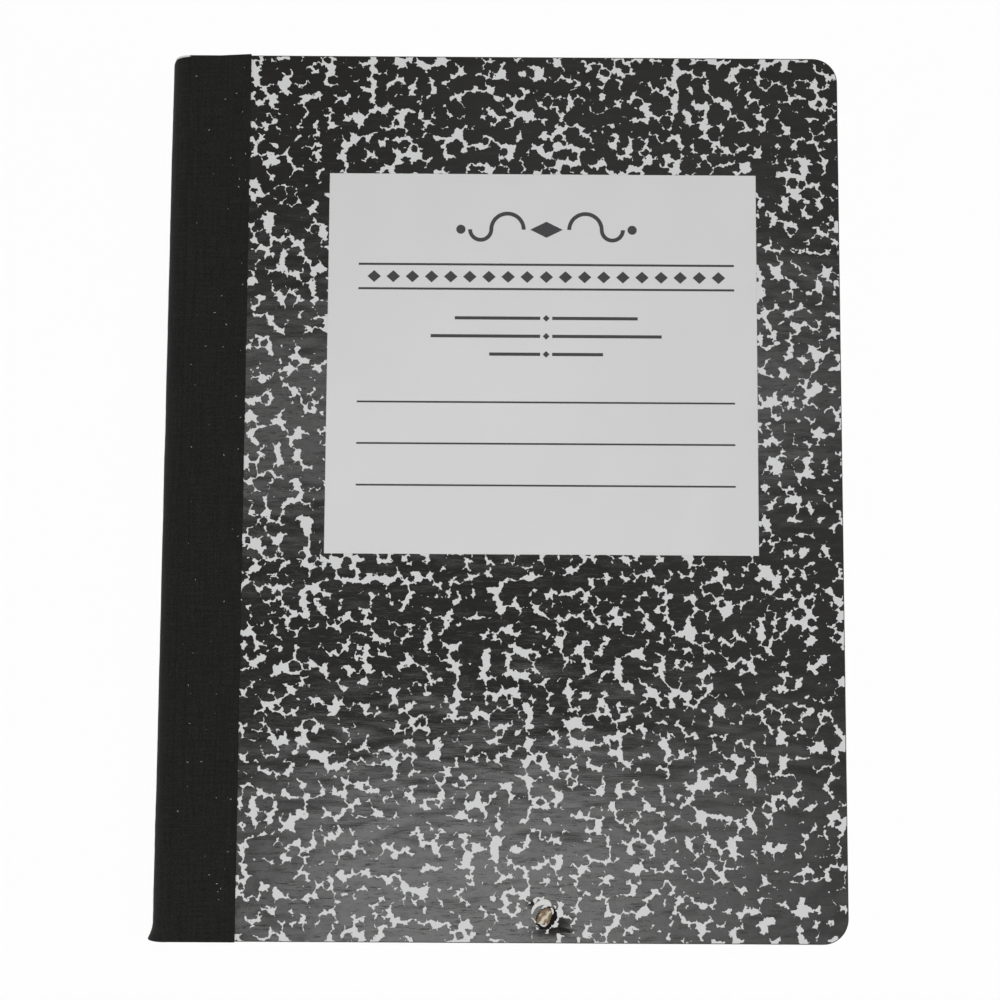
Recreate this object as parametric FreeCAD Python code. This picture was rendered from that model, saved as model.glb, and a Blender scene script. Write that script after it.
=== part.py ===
import FreeCAD, Part
import math
import os
import random

from FreeCAD import Vector

os.makedirs("parts", exist_ok=True)

# A composition notebook: one section of folded sheets, sewn through the fold into a single
# sheet of marbled card, with cloth tape round the spine. It lies on its back cover.
# X runs from the spine to the fore-edge, Y from the tail to the head, Z up out of the front
# cover. The origin is the middle of the covers, on the surface that the notebook lies on.

# Driving dimensions, in millimetres

# trimmed size
cover_width = 190.5
cover_height = 247.65
corner_radius = 7.0

# thicknesses
leaf_count = 100
leaf_thickness = 0.09
card_thickness = 0.55
ink_thickness = 0.05
tape_thickness = 0.25

# clearances
page_clearance = 0.05
crease_gap = 0.4
hinge_lift = 0.1
thread_clearance = 0.05

# spine tape: how far it reaches on to the covers, and how its ends stand to the trimmed edges
tape_reach_head = 23.2
tape_reach_tail = 23.5
tape_past_head = 0.35
tape_past_tail = 0.15
tape_short_at_spine = 0.9
tape_end_radius = 2.0
tail_flare = 1.05
tail_flare_length = 4.0

# sewing
thread_thickness = 0.35
stitch_pitch = 9.0
stitch_margin = 7.0

# label panel, from the spine's outermost line and the head edge
label_from_spine = 46.1
label_from_head = 34.2
label_width = 120.9
label_height = 107.9

# writing rules on the label
rule_count = 3
rule_pitch = 11.7
rule_thickness = 0.5
rule_length = 106.0
first_rule_from_label_head = 65.3
print_off_middle = 1.1

# printed ornament over the rules: a scroll, a band of lozenges and three centred lines, all
# off the panel's middle by as much as the rules
scroll_from_label_head = 16.0
scroll_radius = 4.6
scroll_tail_radius = 3.0
scroll_stroke = 1.1
scroll_dot_radius = 1.3
band_from_label_head = 29.6
band_height = 7.6
band_rule = 0.6
lozenge_pitch = 5.4
lozenge_length = 3.8
lozenge_height = 3.4
line_lengths = (51.5, 65.0, 32.0)
first_line_from_label_head = 41.4
line_pitch = 5.13
line_thickness = 0.9
line_diamond = 1.9
line_break = 3.4

# white flecks left in the marbled ink
fleck_throws = 4000
fleck_reach_small = 4.6
fleck_reach_large = 8.5
fleck_margin = 0.1
fewest_cusp_count = 3
most_cusp_count = 4
fleck_skew = 0.2
fleck_shortest_tip = 0.8
fleck_hollow = 0.3
fleck_seed_front = 11
fleck_seed_back = 23

# puncture near the tail of the front cover
tear_from_spine = 107.9
tear_from_tail = 6.9
tear_reaches = (3.1, 3.6, 4.3, 4.6, 4.6, 4.3, 2.9, 2.9, 2.8)
tear_depth = 0.4
pit_diameter = 4.6
plug_diameter = 3.6
plug_top_diameter = 2.4
plug_rise = 0.1
lip_reach = 4.0
lip_width = 1.1
lip_rise = 0.2
lip_start_degrees = 65
lip_turn_degrees = 120

# Levels and places worked out from the sizes

block_thickness = leaf_count * leaf_thickness
wrap_thickness = tape_thickness + ink_thickness + card_thickness
overall = block_thickness + 2 * (page_clearance + wrap_thickness)
mid_z = overall / 2
nose_radius = overall / 2

spine_x = -cover_width / 2
fore_x = cover_width / 2
head_y = cover_height / 2
tail_y = -cover_height / 2
hinge_x = spine_x + nose_radius
cover_start_x = hinge_x + crease_gap / 2
strip_end_x = hinge_x - crease_gap / 2
past = overall

# how far in from each side the middle of a round corner lies, as a share of its radius
corner_share = 1 - math.sqrt(0.5)


def at(x, y, z=0.0):
    return Vector(x, y, z)


def mirrored_down(shape):
    """The same piece on the back cover: mirrored in the plane through the middle of the section."""
    return shape.mirror(at(0, 0, mid_z), Vector(0, 0, 1))


def prism(wires, low, high):
    """A plate between two levels, from plan outlines: the first is the edge, the others are holes."""
    face = Part.makeFace([wire.copy() for wire in wires], "Part::FaceMakerBullseye")
    face.translate(at(0, 0, low))
    return face.extrude(at(0, 0, high - low))


def polygon(points):
    return Part.makePolygon([at(x, y) for x, y in points] + [at(*points[0])])


def rectangle(low_x, high_x, low_y, high_y):
    return polygon([(low_x, low_y), (high_x, low_y), (high_x, high_y), (low_x, high_y)])


def sheet_outline(start_x):
    """Plan of a trimmed sheet from start_x to the fore-edge, where both corners are round."""
    r = corner_radius
    edges = [
        Part.makeLine(at(start_x, tail_y), at(fore_x - r, tail_y)),
        Part.Arc(at(fore_x - r, tail_y), at(fore_x - corner_share * r, tail_y + corner_share * r),
                 at(fore_x, tail_y + r)).toShape(),
        Part.makeLine(at(fore_x, tail_y + r), at(fore_x, head_y - r)),
        Part.Arc(at(fore_x, head_y - r), at(fore_x - corner_share * r, head_y - corner_share * r),
                 at(fore_x - r, head_y)).toShape(),
        Part.makeLine(at(fore_x - r, head_y), at(start_x, head_y)),
        Part.makeLine(at(start_x, head_y), at(start_x, tail_y)),
    ]
    return Part.Wire(edges)


def nose_outline(inset, end_x, y, flare=0.0):
    """Section of the folded spine at height y: a half-round nose that runs flat as far as end_x.

    inset is the depth under the tape's outer face, and flare draws the nose out past it.
    """
    radius = nose_radius - inset
    low, high = mid_z - radius, mid_z + radius
    nose = Part.Arc(at(hinge_x, y, low), at(hinge_x - radius, y, mid_z), at(hinge_x, y, high)).toShape()
    if flare:
        drawn = FreeCAD.Matrix()
        drawn.A11 = (radius + flare) / radius
        drawn.A14 = hinge_x * (1 - drawn.A11)
        nose = nose.transformGeometry(drawn)
    ends = [at(hinge_x, y, high), at(end_x, y, high), at(end_x, y, low), at(hinge_x, y, low)]
    if end_x == hinge_x:
        ends = [ends[0], ends[3]]
    return Part.Wire([nose] + Part.makePolygon(ends).Edges)


def nose_prism(inset, end_x, low_y, high_y):
    face = Part.Face(nose_outline(inset, end_x, low_y))
    return face.extrude(at(0, high_y - low_y, 0))


def keep_left_of(shape, x):
    """What lies on the spine's side of x."""
    box = Part.makeBox(cover_width + 2 * past, cover_height + 2 * past, overall + 2 * past,
                       at(x, tail_y - past, -past))
    return shape.cut(box)


# Page block and thread

thread_x = spine_x + tape_thickness + thread_clearance + thread_thickness / 2
block_inset = wrap_thickness + page_clearance
fold_x = spine_x + block_inset + block_thickness / 2


def stitch_places():
    count = int((cover_height - 2 * stitch_margin) / stitch_pitch) + 1
    start = -(count - 1) * stitch_pitch / 2
    return [start + i * stitch_pitch for i in range(count)]


def bar(low_x, high_x, low_y, high_y, thickness):
    """Square stock, level with the middle of the section."""
    return Part.makeBox(high_x - low_x, high_y - low_y, thickness,
                        at(low_x, low_y, mid_z - thickness / 2))


def run(x, low_y, high_y, thickness):
    """A run of thread, or room for one, along the fold."""
    return bar(x - thickness / 2, x + thickness / 2, low_y, high_y, thickness)


def stitches(thickness):
    """The threads that pass through the fold, or the needle slits for them."""
    return [bar(thread_x, fold_x, y - thickness / 2, y + thickness / 2, thickness)
            for y in stitch_places()]


thread_room = thread_thickness + 2 * thread_clearance


def page_block():
    """The folded leaves as one solid, with a channel down the middle of the fold for the thread."""
    radius = nose_radius - block_inset
    fold = nose_prism(block_inset, hinge_x, tail_y, head_y)
    leaves = prism([sheet_outline(hinge_x)], mid_z - radius, mid_z + radius)
    block = fold.fuse(leaves).removeSplitter()
    return block.cut([run(fold_x, tail_y - past, head_y + past, thread_room)] + stitches(thread_room))


def sewing_thread():
    """One run outside the fold, one inside it, and the stitches that pass between them."""
    places = stitch_places()
    low_y, high_y = places[0] - thread_thickness / 2, places[-1] + thread_thickness / 2
    runs = [run(x, low_y, high_y, thread_thickness) for x in (thread_x, fold_x)]
    return runs[0].fuse(runs[1:] + stitches(thread_thickness)).removeSplitter()


# Card

def spine_board():
    """The strip of the card that goes round the fold, grooved and pierced for the thread."""
    outer = nose_prism(tape_thickness, hinge_x, tail_y, head_y)
    inner = nose_prism(wrap_thickness, hinge_x + past, tail_y - past, head_y + past)
    strip = keep_left_of(outer.cut(inner), strip_end_x)
    groove = bar(spine_x, thread_x + thread_room / 2, tail_y - past, head_y + past, thread_room)
    return strip.cut([groove] + stitches(thread_room))


card_low = overall - wrap_thickness
ink_low = overall - tape_thickness - ink_thickness
ink_high = overall - tape_thickness
tear_x = spine_x + tear_from_spine
tear_y = tail_y + tear_from_tail


def torn_outline():
    """The ragged edge of the torn ink: straight rips between points at uneven distances."""
    step = 2 * math.pi / len(tear_reaches)
    return polygon([(tear_x + reach * math.cos(i * step), tear_y + reach * math.sin(i * step))
                    for i, reach in enumerate(tear_reaches)])


def torn_lip():
    """The curl of card that stands up round one side of the puncture."""
    height = ink_high + lip_rise - ink_low
    curl = Part.makeCylinder(lip_reach, height, at(0, 0), Vector(0, 0, 1), lip_turn_degrees)
    curl = curl.cut(Part.makeCylinder(lip_reach - lip_width, height))
    curl.rotate(at(0, 0), Vector(0, 0, 1), lip_start_degrees)
    curl.translate(at(tear_x, tear_y, ink_low))
    return curl


def front_board():
    """The front cover's card, punctured near the tail: a pit with a plug of rolled-up fibres in it."""
    board = prism([sheet_outline(cover_start_x)], card_low, ink_low)
    floor = at(tear_x, tear_y, ink_low - tear_depth)
    pit = Part.makeCylinder(pit_diameter / 2, tear_depth, floor)
    plug = Part.makeCone(plug_diameter / 2, plug_top_diameter / 2, tear_depth + plug_rise, floor)
    return board.cut(pit).fuse([plug, torn_lip()]).removeSplitter()


def back_board():
    return mirrored_down(prism([sheet_outline(cover_start_x)], card_low, ink_low))


# Print

label_left = spine_x + label_from_spine
label_right = label_left + label_width
label_top = head_y - label_from_head
label_bottom = label_top - label_height
print_mid = (label_left + label_right) / 2 + print_off_middle


def hollow_side(start, end, centre):
    """The middle of a side between two cusps, drawn in towards the fleck's centre."""
    chord = end - start
    narrowest = min(chord.getAngle(centre - start), (start - end).getAngle(centre - end))
    inward = Vector(-chord.y, chord.x, 0).normalize()
    return (start + end) / 2 + inward * (chord.Length / 2 * math.tan(fleck_hollow * narrowest))


def fleck_outline(dice, x, y, reach):
    """A patch with hollow sides between its cusps, as round blots of ink leave between them."""
    cusps = dice.randint(fewest_cusp_count, most_cusp_count)
    turn = dice.uniform(0, 2 * math.pi)
    tips = []
    for i in range(cusps):
        angle = turn + 2 * math.pi / cusps * (i + dice.uniform(-fleck_skew, fleck_skew))
        length = reach * dice.uniform(fleck_shortest_tip, 1)
        tips.append(at(x + length * math.cos(angle), y + length * math.sin(angle)))
    points = []
    for i, tip in enumerate(tips):
        middle = hollow_side(tip, tips[(i + 1) % cusps], at(x, y))
        points += [(tip.x, tip.y), (middle.x, middle.y)]
    return polygon(points)


def off_corners(x, y, reach):
    """Whether a circle keeps inside the round fore-edge corners."""
    over_x = x - (fore_x - corner_radius)
    over_y = abs(y) - (head_y - corner_radius)
    return min(over_x, over_y) < 0 or math.hypot(over_x, over_y) + reach < corner_radius


def outside(x, y, reach, box):
    """Whether a circle lies wholly outside a box of low x, high x, low y, high y."""
    low_x, high_x, low_y, high_y = box
    return x < low_x - reach or x > high_x + reach or y < low_y - reach or y > high_y + reach


def fleck_outlines(seed, keep_clear):
    """Flecks of uneven size, strewn so that none meets another, an edge or a box in keep_clear."""
    dice = random.Random(seed)
    low_x = spine_x + max(tape_reach_head, tape_reach_tail)
    strewn = []
    flecks = []
    for _ in range(fleck_throws):
        reach = dice.uniform(fleck_reach_small, fleck_reach_large)
        room = reach + fleck_margin
        x = dice.uniform(low_x + room, fore_x - room)
        y = dice.uniform(tail_y + room, head_y - room)
        apart = all(math.hypot(x - other_x, y - other_y) > room + other_reach
                    for other_x, other_y, other_reach in strewn)
        if apart and off_corners(x, y, room) and all(outside(x, y, room, box) for box in keep_clear):
            strewn.append((x, y, reach))
            flecks.append(fleck_outline(dice, x, y, reach))
    return flecks


def front_print():
    """The ink on the front: open at the label panel, the puncture and the white flecks."""
    label = (label_left, label_right, label_bottom, label_top)
    widest = max(tear_reaches)
    tear = (tear_x - widest, tear_x + widest, tear_y - widest, tear_y + widest)
    openings = [rectangle(*label), torn_outline()]
    flecks = fleck_outlines(fleck_seed_front, [label, tear])
    return prism([sheet_outline(cover_start_x)] + openings + flecks, ink_low, ink_high)


def back_print():
    flecks = fleck_outlines(fleck_seed_back, [])
    return mirrored_down(prism([sheet_outline(cover_start_x)] + flecks, ink_low, ink_high))


def printed(outline):
    return prism([outline], ink_low, ink_high)


def label_rules():
    """The writing rules, evenly spaced down the lower half of the label."""
    rules = []
    for i in range(rule_count):
        y = label_top - first_rule_from_label_head - i * rule_pitch
        rules.append(printed(rectangle(print_mid - rule_length / 2, print_mid + rule_length / 2,
                                       y - rule_thickness / 2, y + rule_thickness / 2)))
    return Part.makeCompound(rules)


def bow(x, y, radius, side):
    """A half-round pen stroke over (side 1) or under (side -1) its centre."""
    ring = Part.makeCylinder(radius + scroll_stroke / 2, ink_thickness, at(x, y, ink_low))
    ring = ring.cut(Part.makeCylinder(radius - scroll_stroke / 2, ink_thickness, at(x, y, ink_low)))
    reach = 2 * radius
    half = Part.makeBox(2 * reach, reach, ink_thickness,
                        at(x - reach, y - reach if side < 0 else y, ink_low))
    return ring.common(half)


def diamond(x, y, length, height):
    return printed(polygon([(x - length / 2, y), (x, y - height / 2), (x + length / 2, y),
                            (x, y + height / 2)]))


def scroll():
    """A pen flourish: a wave of bows each side of a diamond, ending in dots."""
    y = label_top - scroll_from_label_head
    marks = [diamond(print_mid, y, 2 * scroll_radius, scroll_radius)]
    for way in (-1, 1):
        first = print_mid + way * 2.4 * scroll_radius
        second = first + way * (scroll_radius + scroll_tail_radius)
        wave = bow(first, y, scroll_radius, 1).fuse(bow(second, y, scroll_tail_radius, -1))
        marks.append(wave.removeSplitter())
        dot_x = second + way * (scroll_tail_radius + 2 * scroll_dot_radius)
        marks.append(Part.makeCylinder(scroll_dot_radius, ink_thickness, at(dot_x, y, ink_low)))
    return marks


def lozenge_band():
    """Lozenges in a row between two thin rules, as wide as the writing rules."""
    y = label_top - band_from_label_head
    left, right = print_mid - rule_length / 2, print_mid + rule_length / 2
    marks = []
    for side in (-1, 1):
        middle = y + side * (band_height - band_rule) / 2
        marks.append(printed(rectangle(left, right, middle - band_rule / 2, middle + band_rule / 2)))
    count = int((right - left) / lozenge_pitch)
    start = print_mid - (count - 1) * lozenge_pitch / 2
    for i in range(count):
        marks.append(diamond(start + i * lozenge_pitch, y, lozenge_length, lozenge_height))
    return marks


def centred_lines():
    """Three plain lines under the band, each broken by a small diamond."""
    marks = []
    for i, length in enumerate(line_lengths):
        y = label_top - first_line_from_label_head - i * line_pitch
        for way in (-1, 1):
            near, far = print_mid + way * line_break / 2, print_mid + way * length / 2
            marks.append(printed(rectangle(min(near, far), max(near, far),
                                           y - line_thickness / 2, y + line_thickness / 2)))
        marks.append(diamond(print_mid, y, line_diamond, line_diamond))
    return marks


def label_ornament():
    return Part.makeCompound(scroll() + lozenge_band() + centred_lines())


# Cloth tape

def tape_outline(start_x, spine_side):
    """Plan of the tape from start_x to its edge on the cover, with the head end cut slightly askew."""
    low_y = tail_y - tape_past_tail
    high_y = head_y + tape_past_head
    end_head = spine_x + tape_reach_head
    end_tail = spine_x + tape_reach_tail
    askew = (tape_short_at_spine + tape_past_head) / tape_reach_head
    start_y = high_y - askew * (end_head - start_x)
    if not spine_side:
        return polygon([(start_x, low_y), (end_tail, low_y), (end_head, high_y), (start_x, start_y)])
    r = tape_end_radius
    bend = at(start_x + r * corner_share, start_y - r * corner_share)
    return Part.Wire([
        Part.makeLine(at(start_x - tail_flare, low_y), at(end_tail, low_y)),
        Part.makeLine(at(end_tail, low_y), at(end_head, high_y)),
        Part.makeLine(at(end_head, high_y), at(start_x + r, start_y + askew * r)),
        Part.Arc(at(start_x + r, start_y + askew * r), bend, at(start_x, start_y - r)).toShape(),
        Part.makeLine(at(start_x, start_y - r), at(start_x, tail_y + tail_flare_length)),
        Part.makeLine(at(start_x, tail_y + tail_flare_length),
                      at(start_x - tail_flare, tail_y + tail_flare_length)),
        Part.makeLine(at(start_x - tail_flare, tail_y + tail_flare_length),
                      at(start_x - tail_flare, low_y)),
    ])


def front_tape_flap():
    return prism([tape_outline(cover_start_x, False)], ink_high, overall)


def back_tape_flap():
    return mirrored_down(front_tape_flap())


def spine_tape():
    """The tape round the nose, spread at the tail, where the cloth end has worn loose."""
    low_y, high_y = tail_y - tape_past_tail, head_y + tape_past_head
    flare_y = tail_y + tail_flare_length
    outer = nose_prism(0, hinge_x, flare_y, high_y)
    flare = Part.makeLoft([nose_outline(0, hinge_x, flare_y),
                           nose_outline(0, hinge_x, low_y, tail_flare)], True, True)
    inner = nose_prism(tape_thickness, hinge_x + past, low_y - past, high_y + past)
    wrap = outer.fuse(flare).cut(inner).common(prism([tape_outline(spine_x, True)], 0, overall))
    return keep_left_of(wrap, strip_end_x)


nodes = {
    "page_block": page_block,
    "sewing_thread": sewing_thread,
    "spine_board": spine_board,
    "spine_tape": spine_tape,
    "front_board": front_board,
    "front_print": front_print,
    "label_rules": label_rules,
    "label_ornament": label_ornament,
    "front_tape_flap": front_tape_flap,
    "back_board": back_board,
    "back_print": back_print,
    "back_tape_flap": back_tape_flap,
}

for name, make in nodes.items():
    shape = make()
    shape.exportStep(f"parts/{name}.step")
    print(name, len(shape.Solids), round(shape.Volume, 2), shape.isValid())

print("hinge axes: x", hinge_x, "z", overall + hinge_lift, "and", -hinge_lift)
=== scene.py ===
import math
import random

import bmesh
import bpy
from mathutils import Matrix, Vector, noise


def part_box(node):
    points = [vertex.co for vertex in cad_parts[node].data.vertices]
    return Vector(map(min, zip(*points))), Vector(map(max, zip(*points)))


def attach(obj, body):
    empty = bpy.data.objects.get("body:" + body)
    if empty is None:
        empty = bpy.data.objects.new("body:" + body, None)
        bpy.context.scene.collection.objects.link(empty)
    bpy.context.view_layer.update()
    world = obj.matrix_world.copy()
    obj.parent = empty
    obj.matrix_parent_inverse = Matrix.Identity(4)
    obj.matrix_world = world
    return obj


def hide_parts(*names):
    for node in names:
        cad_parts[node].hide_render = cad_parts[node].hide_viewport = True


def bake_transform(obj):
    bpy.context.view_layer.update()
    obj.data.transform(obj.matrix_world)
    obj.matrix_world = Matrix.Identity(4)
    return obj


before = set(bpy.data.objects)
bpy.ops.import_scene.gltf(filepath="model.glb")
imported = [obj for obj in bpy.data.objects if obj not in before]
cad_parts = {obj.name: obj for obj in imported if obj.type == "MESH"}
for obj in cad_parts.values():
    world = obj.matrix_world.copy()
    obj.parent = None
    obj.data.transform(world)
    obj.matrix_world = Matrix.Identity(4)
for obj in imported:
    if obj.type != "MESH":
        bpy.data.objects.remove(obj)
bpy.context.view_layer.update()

# The notebook lies on its back cover. X runs from the spine to the fore-edge, Y from the tail to
# the head, Z up out of the front cover. Sizes are in millimetres until a mesh is made.

MM = 0.001


def cad_box(node):
    low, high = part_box(node)
    return low / MM, high / MM


block_low, block_high = cad_box("page_block")
flap_low, flap_high = cad_box("front_tape_flap")

# Levels and places

fore_x = block_high.x
head_y = block_high.y
tail_y = block_low.y
overall = flap_high.z
mid_z = overall / 2
corner_radius = 7.0
corner_steps = 12

tape_thickness = 0.25
ink_thickness = 0.05
card_thickness = 0.55
ink_high = flap_low.z
ink_low = ink_high - ink_thickness
spine_x = -fore_x
hinge_x = spine_x + mid_z
crease_half_gap = 0.2

# round the tape's nose, from the middle of the fold to the hinge
fold_arc = mid_z * math.radians(90)

label_from_spine = 46.1
label_from_head = 34.2
label_width = 120.9
label_height = 107.9
label_left = spine_x + label_from_spine
label_right = label_left + label_width
label_top = head_y - label_from_head
label_bottom = label_top - label_height

tear_from_spine = 107.9
tear_from_tail = 6.9
tear_x = spine_x + tear_from_spine
tear_y = tail_y + tear_from_tail

# dulled places round the puncture: middle, reach across and along, and how much gloss is lost
tear_scuffs = (
    ((tear_x + 3.6, tear_y - 1.2), (4.2, 3.4), 0.5),
    ((tear_x + 1.0, tear_y - 3.9), (5.5, 2.0), 0.4),
    ((tear_x - 3.6, tear_y + 3.7), (1.9, 1.3), 0.7),
)


def srgb(red, green, blue):
    """A colour as it is seen on a screen, from 0 to 255, turned into the renderer's own scale."""
    def linear(value):
        value /= 255
        return value / 12.92 if value <= 0.04045 else ((value + 0.055) / 1.055) ** 2.4
    return (linear(red), linear(green), linear(blue), 1.0)


# Node wiring

class Wiring:
    """Adds nodes to a tree. A socket given as an input is linked; anything else is set on it."""

    def __init__(self, tree):
        self.tree = tree

    def node(self, kind, inputs=None, **settings):
        made = self.tree.nodes.new(kind)
        for key, value in settings.items():
            setattr(made, key, value)
        for key, value in (inputs or {}).items():
            if isinstance(value, bpy.types.NodeSocket):
                self.tree.links.new(value, made.inputs[key])
            else:
                made.inputs[key].default_value = value
        return made

    def sum(self, operation, *values):
        return self.node("ShaderNodeMath", dict(enumerate(values)), operation=operation).outputs[0]

    def vector(self, operation, first, second):
        """Vector arithmetic. SCALE takes a number second, and anything else a vector."""
        inputs = {0: first, "Scale" if operation == "SCALE" else 1: second}
        return self.node("ShaderNodeVectorMath", inputs, operation=operation).outputs[0]

    def length(self, across, along):
        """How far two steps at right angles lead."""
        return self.sum("SQRT", self.sum("ADD", self.sum("MULTIPLY", across, across),
                                         self.sum("MULTIPLY", along, along)))

    def any_ray(self, first, *others):
        """1 for rays of the named kinds, and 0 for the rest."""
        rays = self.node("ShaderNodeLightPath").outputs
        found = rays[first]
        for kind in others:
            found = self.sum("MAXIMUM", found, rays[kind])
        return found

    def step(self, value, start, end, low=0.0, high=1.0):
        """A smooth rise of value from start to end."""
        inputs = {"Value": value, "From Min": start, "From Max": end, "To Min": low, "To Max": high}
        return self.node("ShaderNodeMapRange", inputs, interpolation_type="SMOOTHSTEP").outputs[0]


class Finish(Wiring):
    """A material on one Principled shader, with its pattern in millimetres on the piece."""

    def __init__(self, name, **shader):
        self.material = bpy.data.materials.new(name)
        self.material.use_nodes = True
        super().__init__(self.material.node_tree)
        self.shader = self.tree.nodes["Principled BSDF"]
        for key, value in shader.items():
            self.shader.inputs[key.replace("_", " ")].default_value = value
        self.place = self.node("ShaderNodeTexCoord").outputs["Object"]

    def coordinates(self, scale=(1.0, 1.0, 1.0), shift=(0.0, 0.0, 0.0)):
        """The place on the piece in millimetres, stretched and moved."""
        inputs = {"Vector": self.place, "Location": shift,
                  "Scale": tuple(value / MM for value in scale)}
        return self.node("ShaderNodeMapping", inputs).outputs[0]

    def parts_of(self, vector):
        return self.node("ShaderNodeSeparateXYZ", {0: vector}).outputs

    def noise(self, vector, scale, detail=2.0, roughness=0.5):
        inputs = {"Vector": vector, "Scale": scale, "Detail": detail, "Roughness": roughness}
        return self.node("ShaderNodeTexNoise", inputs).outputs[0]

    def blend(self, share, first, second):
        """One colour turning into another."""
        inputs = {0: share, 6: first, 7: second}
        return self.node("ShaderNodeMix", inputs, data_type="RGBA").outputs[2]

    def blend_value(self, share, first, second):
        """One number turning into another."""
        return self.node("ShaderNodeMix", {0: share, 2: first, 3: second}).outputs[0]

    def set(self, socket, value):
        self.tree.links.new(value, self.shader.inputs[socket])

    def bump(self, height, depth):
        """Relief of the given depth in millimetres."""
        inputs = {"Height": height, "Distance": depth * MM, "Strength": 1.0}
        self.set("Normal", self.node("ShaderNodeBump", inputs).outputs[0])


# Finishes

# layers of ink blots: how far apart they are, their reach and how uneven it is as shares of that,
# and how far the layer is moved
blot_layers = ((4.1, 0.46, 0.38, 0.0), (2.8, 0.42, 0.34, 17.3))
blot_warp = 1.8
blot_ragged = 1.3
blots_melt = 0.4


def marbled_ink(name, shift, scuffs=()):
    """Glossy black ink run together in round blots, which leaves ragged white flecks between them.
    Each scuff is a place, a reach across and along, and how much of the gloss is lost there."""
    finish = Finish(name, Specular_IOR_Level=0.21)
    flat = finish.coordinates((1.0, 1.0, 0.0), shift)
    wobble = finish.node("ShaderNodeTexNoise", {"Vector": flat, "Scale": 0.75, "Detail": 0.5})
    warp = finish.vector("SUBTRACT", wobble.outputs["Color"], (0.5, 0.5, 0.5))
    warped = finish.vector("ADD", flat, finish.vector("SCALE", warp, blot_warp))
    covered = None
    for spacing, reach, uneven, offset in blot_layers:
        place = finish.vector("ADD", warped, (offset, offset / 2, 0.0))
        blots = finish.node("ShaderNodeTexVoronoi", {"Vector": place, "Scale": 1 / spacing},
                            voronoi_dimensions="2D", feature="SMOOTH_F1")
        blots.inputs["Smoothness"].default_value = 0.1
        dice = finish.node("ShaderNodeSeparateColor", {0: blots.outputs["Color"]}).outputs[0]
        size = finish.sum("MULTIPLY_ADD", dice, uneven * spacing, (reach - uneven / 2) * spacing)
        inside = finish.sum("SUBTRACT", size, finish.sum("MULTIPLY", blots.outputs["Distance"], spacing))
        covered = inside if covered is None else finish.node(
            "ShaderNodeMath", {0: covered, 1: inside, 2: blots_melt}, operation="SMOOTH_MAX").outputs[0]
    spread = finish.sum("SUBTRACT", finish.noise(flat, 1.2), 0.5)
    covered = finish.sum("MULTIPLY_ADD", spread, blot_ragged, covered)
    ink = finish.step(covered, -0.1, -0.02)
    mottle = finish.noise(finish.coordinates(), 0.35, 3.0)
    streaks = finish.noise(finish.coordinates((0.2, 1.5, 1.0)), 1.0, 5.0, 0.8)
    black = finish.blend(mottle, srgb(8, 7, 6), srgb(16, 13, 9))
    white = finish.blend(mottle, srgb(208, 209, 209), srgb(214, 215, 214))
    finish.set("Base Color", finish.blend(ink, white, black))
    dull = finish.step(streaks, 0.5, 0.72, 0.13, 0.45)
    x, y, _ = finish.parts_of(finish.coordinates())
    for (scuff_x, scuff_y), (reach_x, reach_y), loss in scuffs:
        across = finish.sum("DIVIDE", finish.sum("SUBTRACT", x, scuff_x), reach_x)
        along = finish.sum("DIVIDE", finish.sum("SUBTRACT", y, scuff_y), reach_y)
        away = finish.sum("MULTIPLY_ADD", streaks, 4.0, finish.length(across, along))
        dull = finish.sum("ADD", dull, finish.step(away, 1.9, 3.3, loss, 0.0))
    finish.set("Roughness", finish.blend_value(ink, 0.45, dull))
    waves = finish.noise(finish.coordinates((0.05, 0.11, 1.0)), 1.0, 2.0)
    finish.bump(finish.sum("MULTIPLY_ADD", waves, 14.0, finish.sum("MULTIPLY", streaks, ink)), 0.025)
    return finish.material


def painted_edge_shade():
    """Painted shade: a dark line along the trimmed edge of the print, in place of the shade on its
    rounded edge.
    """
    finish = Finish("painted_edge_shade", Specular_IOR_Level=0.2, Roughness=0.6)
    patchiness = finish.noise(finish.coordinates(), 0.9, 3.0)
    finish.set("Base Color", finish.blend(patchiness, srgb(20, 18, 16), srgb(50, 45, 40)))
    return finish.material


def coated_card():
    """The card's smooth white face, as the label panel shows it."""
    finish = Finish("coated_card", Specular_IOR_Level=0.2, Roughness=0.34)
    cloud = finish.noise(finish.coordinates(), 0.06, 4.0)
    finish.set("Base Color", finish.blend(cloud, srgb(213, 213, 213), srgb(218, 218, 218)))
    streaks = finish.noise(finish.coordinates((0.3, 1.8, 1.0)), 1.0, 3.0, 0.6)
    finish.bump(streaks, 0.006)
    return finish.material


def board_core():
    """The card's cut edge: greyish brown fibre in thin layers."""
    finish = Finish("board_core", Specular_IOR_Level=0.2, Roughness=0.85)
    layers = finish.noise(finish.coordinates((0.4, 0.4, 9.0)), 1.0, 3.0, 0.7)
    finish.set("Base Color", finish.blend(layers, srgb(150, 138, 122), srgb(206, 198, 184)))
    finish.bump(layers, 0.05)
    return finish.material


def card_lining():
    """The bare inner face of the card."""
    finish = Finish("card_lining", Specular_IOR_Level=0.25, Roughness=0.7)
    fibre = finish.noise(finish.coordinates(), 1.6, 4.0, 0.65)
    finish.set("Base Color", finish.blend(fibre, srgb(222, 220, 214), srgb(233, 232, 228)))
    finish.bump(fibre, 0.02)
    return finish.material


def label_print():
    """Dark grey ink, slightly uneven where it sank into the card."""
    finish = Finish("label_print", Specular_IOR_Level=0.2, Roughness=0.5)
    uneven = finish.noise(finish.coordinates(), 2.5, 3.0)
    finish.set("Base Color", finish.blend(uneven, srgb(46, 46, 48), srgb(66, 66, 68)))
    finish.bump(uneven, 0.01)
    return finish.material


weave_pitch = 0.34
tape_creases = (0.4, 3.2)


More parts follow.
